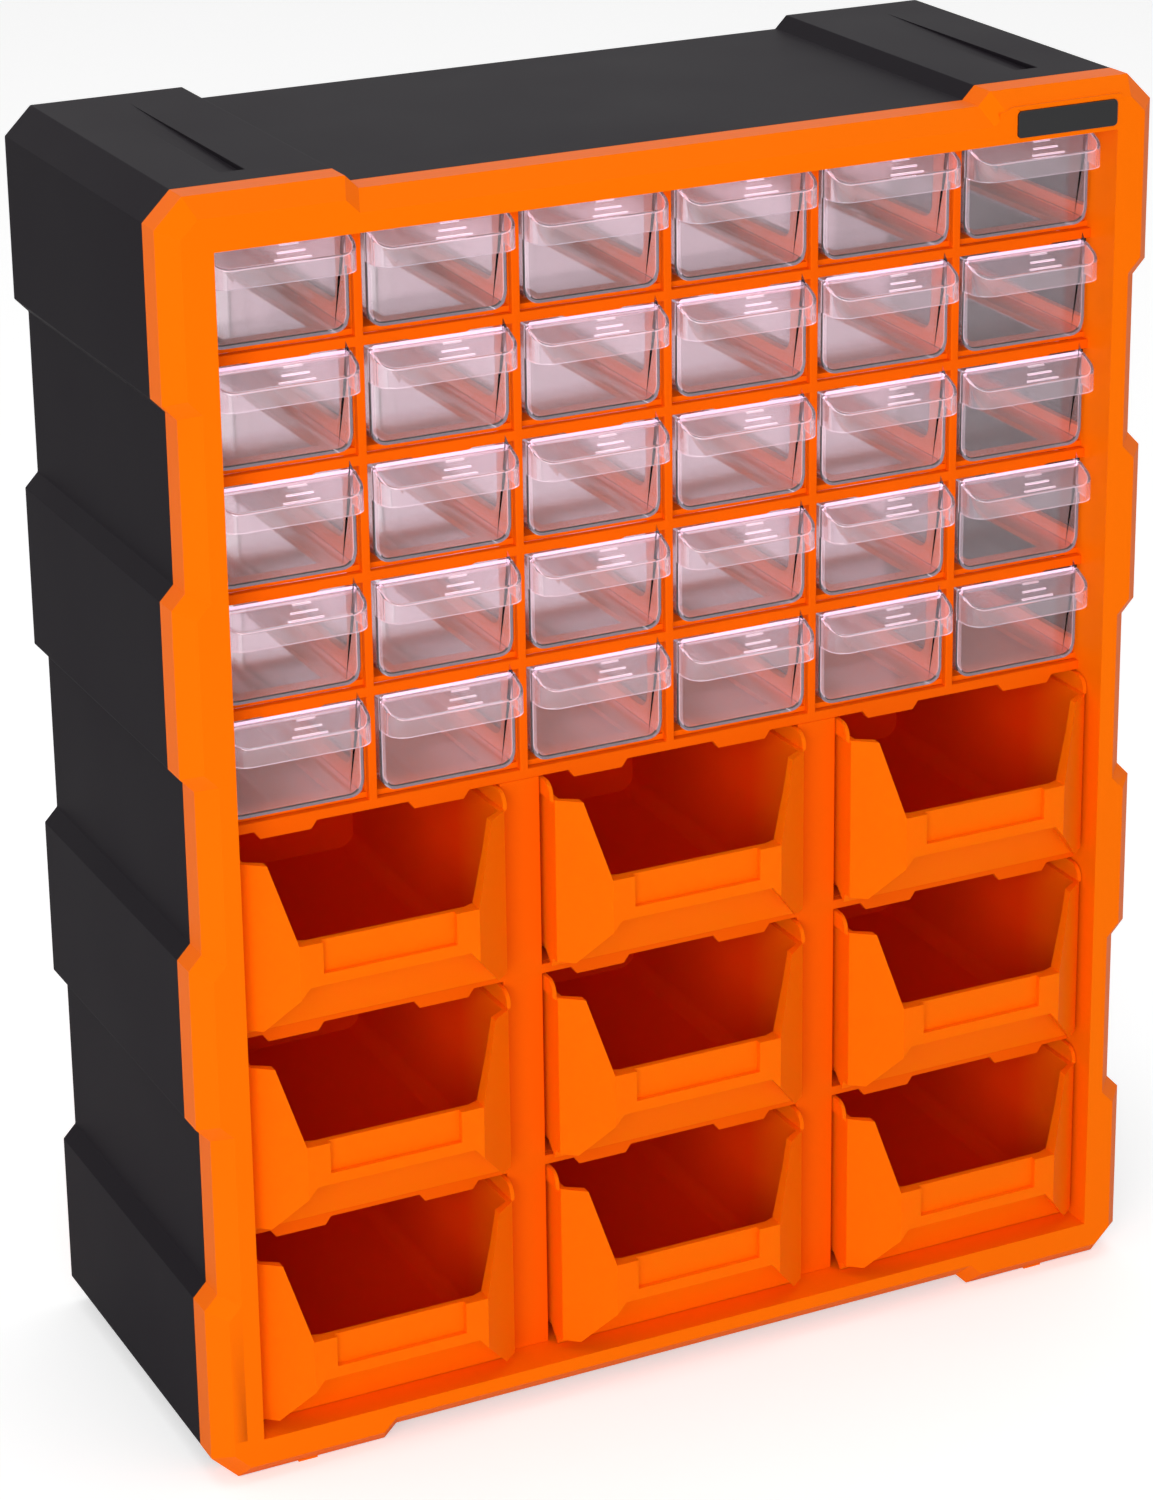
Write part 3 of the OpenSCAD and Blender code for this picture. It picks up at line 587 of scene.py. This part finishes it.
# %% Tub
tub = block("tub", (left, front_y, floor_z), (right, back_y, top_z))
bpy.ops.object.mode_set(mode="EDIT")
pick(tub, "edges", lambda m, w: abs(w.y) > 0.9 and near(m.z, floor_z * MM))
bpy.ops.mesh.bevel(offset=TUB_ROUND * MM, segments=6, profile=0.5, affect="EDGES")
pick(tub, "edges", lambda m, w: abs(w.z) > 0.9 and near(m.y, front_y * MM))
bpy.ops.mesh.bevel(offset=FRONT_ROUND * MM, segments=3, profile=0.5, affect="EDGES")
pick(tub, "faces", lambda m, w: w.z > 0.9)
bpy.ops.mesh.delete(type="FACE")
bpy.ops.object.mode_set(mode="OBJECT")
apply_modifier(tub, "SOLIDIFY", thickness=WALL * MM, offset=-1, use_even_offset=True)
print("tub", len(tub.data.polygons), "faces")

# %% Hood: block, round front corners and slope
SLIP = 0.05  # keeps the hood's sides and top out of the tub's own planes
hood = block("hood", (left + SLIP, front_y - HOOD_D, top_z - HOOD_H),
             (right - SLIP, front_y + WALL / 2, top_z - SLIP))
bpy.ops.object.mode_set(mode="EDIT")
print("front corners", pick(hood, "edges",
                            lambda m, w: abs(w.z) > 0.9 and near(m.y, (front_y - HOOD_D) * MM)))
bpy.ops.mesh.bevel(offset=HOOD_ROUND * MM, segments=8, profile=0.5, affect="EDGES")
slope = math.atan2(HOOD_H - LIP_H, HOOD_D - HOOD_FLAT)
slope_start = Vector((0, front_y - HOOD_FLAT, top_z)) * MM
slope_up = Vector((0, -math.sin(slope), math.cos(slope)))
bpy.ops.mesh.select_all(action="SELECT")
bpy.ops.mesh.bisect(plane_co=slope_start, plane_no=slope_up, use_fill=True, clear_outer=True)


def round_the_slope(middle, way):
    """True for the edges that lie in the slope, apart from its upper end."""
    in_plane = near((middle - slope_start).dot(slope_up), 0) and abs(way.dot(slope_up)) < 0.01
    return in_plane and middle.y < (front_y - HOOD_FLAT - 0.01) * MM


print("edges round the slope", pick(hood, "edges", round_the_slope))
bpy.ops.mesh.bevel(offset=SLOPE_EASE * MM, segments=3, profile=0.5, affect="EDGES")
pick(hood, "faces", lambda m, w: w.z < -0.9 or w.y > 0.9)
bpy.ops.mesh.delete(type="FACE")
bpy.ops.object.mode_set(mode="OBJECT")
apply_modifier(hood, "SOLIDIFY", thickness=WALL * MM, offset=-1, use_even_offset=True)
print("hood", len(hood.data.polygons), "faces")

# %% Stop lug, and grip lines given by their place along the slope and their two ends
lug = block("lug", (middle_x - LUG_HALF, back_y - WALL, top_z - 1), (middle_x + LUG_HALF, back_y, top_z + LUG))
GRIP_LINES = ((2.4, -0.2, 6.6), (6.3, -2.4, 7.6), (9.9, -4.7, 8.5))
GRIP_HALF, GRIP_ROOT = 0.35, 0.5
grips = []
for along, start, end in GRIP_LINES:
    line = block("grip", (middle_x + start, -GRIP_HALF, -GRIP_ROOT), (middle_x + end, GRIP_HALF, GRIP_HALF))
    line.rotation_euler = (slope, 0, 0)
    line.location = slope_start + Vector((0, -math.cos(slope), -math.sin(slope))) * along * MM
    only(line)
    bpy.ops.object.transform_apply(location=True, rotation=True, scale=True)
    grips.append(line)
for other in (hood, lug, *grips):
    apply_modifier(tub, "BOOLEAN", operation="UNION", object=other, solver="EXACT")
    bpy.data.objects.remove(other)
drawer = tub  # it now holds the whole moulding
print("joined drawer", len(drawer.data.polygons), "faces")

# %% Eased edges, and a strip round the drawer's front that gets a painted glow of its own
apply_modifier(drawer, "BEVEL", width=EDGE * MM, segments=2, limit_method="ANGLE",
               angle_limit=math.radians(40), miter_outer="MITER_ARC")
only(drawer)
bpy.ops.object.mode_set(mode="EDIT")
print("front faces", pick(drawer, "faces", lambda m, w: w.y < -0.999 and near(m.y, front_y * MM)))
bpy.ops.mesh.inset(thickness=(WALL - EDGE) * MM)
bpy.ops.object.mode_set(mode="OBJECT")
settle(drawer, 35)
apply_modifier(drawer, "WEIGHTED_NORMAL", keep_sharp=True, weight=80)

# %% [markdown]
# ## Where a drawer gets its painted glow
#
# Which faces get a painted glow can be told from their width and place. An eased edge is a narrow
# strip. The rims lie level at the tub's top and under the lip, and the grip lines stand a little
# above the slope. Each face gets its share of the glow before the drawer is copied.

# %% How much painted glow each face gives off
# shares of painted glow: the rims, the front's strip, the hood
RIM_GLOW, STRIP_GLOW, HOOD_GLOW = 1.0, 0.5, 0.10
EASING_WIDTH, STRIP_WIDTH = 0.26, 1.2  # a face narrower than this is an eased edge, or the front's strip
GRIP_RISE, GRIP_REACH = (0.05, 0.5), 10  # where grip lines lie: above the slope, and beside the middle


def painted_glow(face, mesh):
    """Painted glow that a face gives off: rims and grip lines most, the front's strip half, the hood a little.
    """
    corners = [mesh.vertices[i].co for i in face.vertices]
    outline = sum((a - b).length for a, b in zip(corners, corners[1:] + corners[:1]))
    width = 2 * face.area / outline / MM
    middle, way = face.center / MM, face.normal
    lip_rim = near(middle.z, top_z - HOOD_H, EDGE) and way.z < -0.9
    tub_rim = near(middle.z, top_z, EDGE) and way.z > 0.9 and middle.y > front_y
    rise = (face.center - slope_start).dot(slope_up) / MM
    grip = (GRIP_RISE[0] < rise < GRIP_RISE[1] and middle.y < front_y - HOOD_FLAT - EDGE
            and abs(middle.x - middle_x) < GRIP_REACH)
    if width < EASING_WIDTH or lip_rim or tub_rim or grip:
        return RIM_GLOW
    if middle.y < front_y - 0.2:
        return HOOD_GLOW
    if near(middle.y, front_y, 0.1) and way.y < -0.9 and width < STRIP_WIDTH:
        return STRIP_GLOW
    return 0.0


print("faces that give off led light", mark_faces(drawer, "painted_glow", painted_glow))
print("drawer", len(drawer.data.polygons), "faces")

# %% Thirty drawers
drawer.name = "clear_drawer_r1c1"
drawer_nodes = [f"drawer_r{row}c{column}" for row in range(1, 6) for column in range(1, 7)]
drawers = copies_at(drawer, drawer_nodes, "clear_", clear_plastic, "drawer_clear")
print(len(drawers), "drawers")

# %% [markdown]
# ## Badge plate
#
# The frame carries a small black plate, left bare here. It is a thin block with its four upright
# corners rounded in outline and its front edge eased.

# %% Badge plate
BADGE_ROUND, BADGE_FRAME, BADGE_EDGE = 1.6, 0.25, 0.2
low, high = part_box("badge_plate")
badge = block("badge_plate_bare", Vector(low) / MM, Vector(high) / MM)
bpy.ops.object.mode_set(mode="EDIT")
pick(badge, "edges", lambda m, w: abs(w.y) > 0.9)
bpy.ops.mesh.bevel(offset=BADGE_ROUND * MM, segments=5, profile=0.5, affect="EDGES")
pick(badge, "faces", lambda m, w: w.y < -0.9)
bpy.ops.mesh.inset(thickness=BADGE_FRAME * MM)
bpy.ops.object.mode_set(mode="OBJECT")
apply_modifier(badge, "BEVEL", width=BADGE_EDGE * MM, segments=2, limit_method="ANGLE",
               angle_limit=math.radians(40))
settle(badge)
finish_piece(badge, badge_plastic, "cabinet", "badge_black", "badge_plate")
print("badge plate", len(badge.data.polygons), "faces")

# %% [markdown]
# ## Floor, light and background
#
# The photograph is a plain studio shot on white. A pale floor takes the cabinet's shadow, a large
# soft lamp stands in front and to the left, so that it lights the right walls of the bins,
# another hangs above, and the world fills the rest evenly. The eye, and what glossy and clear
# plastic mirror or pass, see the world as white. The floor shines a little for the eye and through
# clear plastic, so that it stays pale and keeps its shadow.

# %% Floor
FLOOR_LIFT = 0.45
bpy.ops.object.select_all(action="DESELECT")
bpy.ops.mesh.primitive_plane_add(size=30, location=(0, 0, 0))
floor = bpy.context.object
floor.name = "studio_floor"
floor_paint = bpy.data.materials.new("pale_floor")
floor_paint.use_nodes = True
n, link = floor_paint.node_tree.nodes, floor_paint.node_tree.links.new
shader = n["Principled BSDF"]
shader.inputs["Base Color"].default_value = (0.85, 0.85, 0.85, 1)
shader.inputs["Roughness"].default_value = 0.9
shader.inputs["Specular IOR Level"].default_value = 0.1
shader.inputs["Emission Color"].default_value = (1, 1, 1, 1)
ray = n.new("ShaderNodeLightPath")
lift = n.new("ShaderNodeMath")
lift.operation = "MULTIPLY"
lift.inputs[1].default_value = FLOOR_LIFT
seen = n.new("ShaderNodeMath")
seen.operation = "MAXIMUM"
link(ray.outputs["Is Camera Ray"], seen.inputs[0])
link(ray.outputs["Is Transmission Ray"], seen.inputs[1])
link(seen.outputs[0], lift.inputs[0])
link(lift.outputs[0], shader.inputs["Emission Strength"])
floor.data.materials.append(floor_paint)
print("floor", round(floor.dimensions.x, 1), "m across, lifted by", FLOOR_LIFT)


# %% Lamps
def soft_lamp(name, place, target, size, power):
    """A large area lamp that points at its target; its power is in watts."""
    data = bpy.data.lights.new(name, "AREA")
    data.shape = "RECTANGLE"
    data.size, data.size_y = size
    data.energy = power
    lamp = bpy.data.objects.new(name, data)
    lamp.location = place
    lamp.rotation_euler = (Vector(target) - Vector(place)).to_track_quat("-Z", "Y").to_euler()
    bpy.context.scene.collection.objects.link(lamp)


soft_lamp("front_lamp", place=(-1.5, -2.3, 0.9), target=(0, 0, 0.25), size=(2.0, 1.6), power=50)
soft_lamp("top_lamp", place=(0.1, 0.1, 2.6), target=(0, 0, 0.2), size=(2.2, 2.2), power=16)
print("lamps:", [lamp.name for lamp in bpy.data.lights])

# %% World
FILL, SEEN = 0.45, 1.0
world = bpy.data.worlds.new("studio_world")
bpy.context.scene.world = world
world.use_nodes = True
n, link = world.node_tree.nodes, world.node_tree.links.new
sky = n["Background"]
sky.inputs["Color"].default_value = (1, 1, 1, 1)
ray = n.new("ShaderNodeLightPath")
seen = n.new("ShaderNodeMath")
seen.operation = "MAXIMUM"
link(ray.outputs["Is Camera Ray"], seen.inputs[0])
link(ray.outputs["Is Transmission Ray"], seen.inputs[1])
mirrored = n.new("ShaderNodeMath")
mirrored.operation = "MAXIMUM"
link(seen.outputs[0], mirrored.inputs[0])
link(ray.outputs["Is Glossy Ray"], mirrored.inputs[1])
level = n.new("ShaderNodeMapRange")
level.inputs["To Min"].default_value = FILL
level.inputs["To Max"].default_value = SEEN
link(mirrored.outputs[0], level.inputs["Value"])
link(level.outputs["Result"], sky.inputs["Strength"])
print("world fills at", FILL, "and is seen at", SEEN)
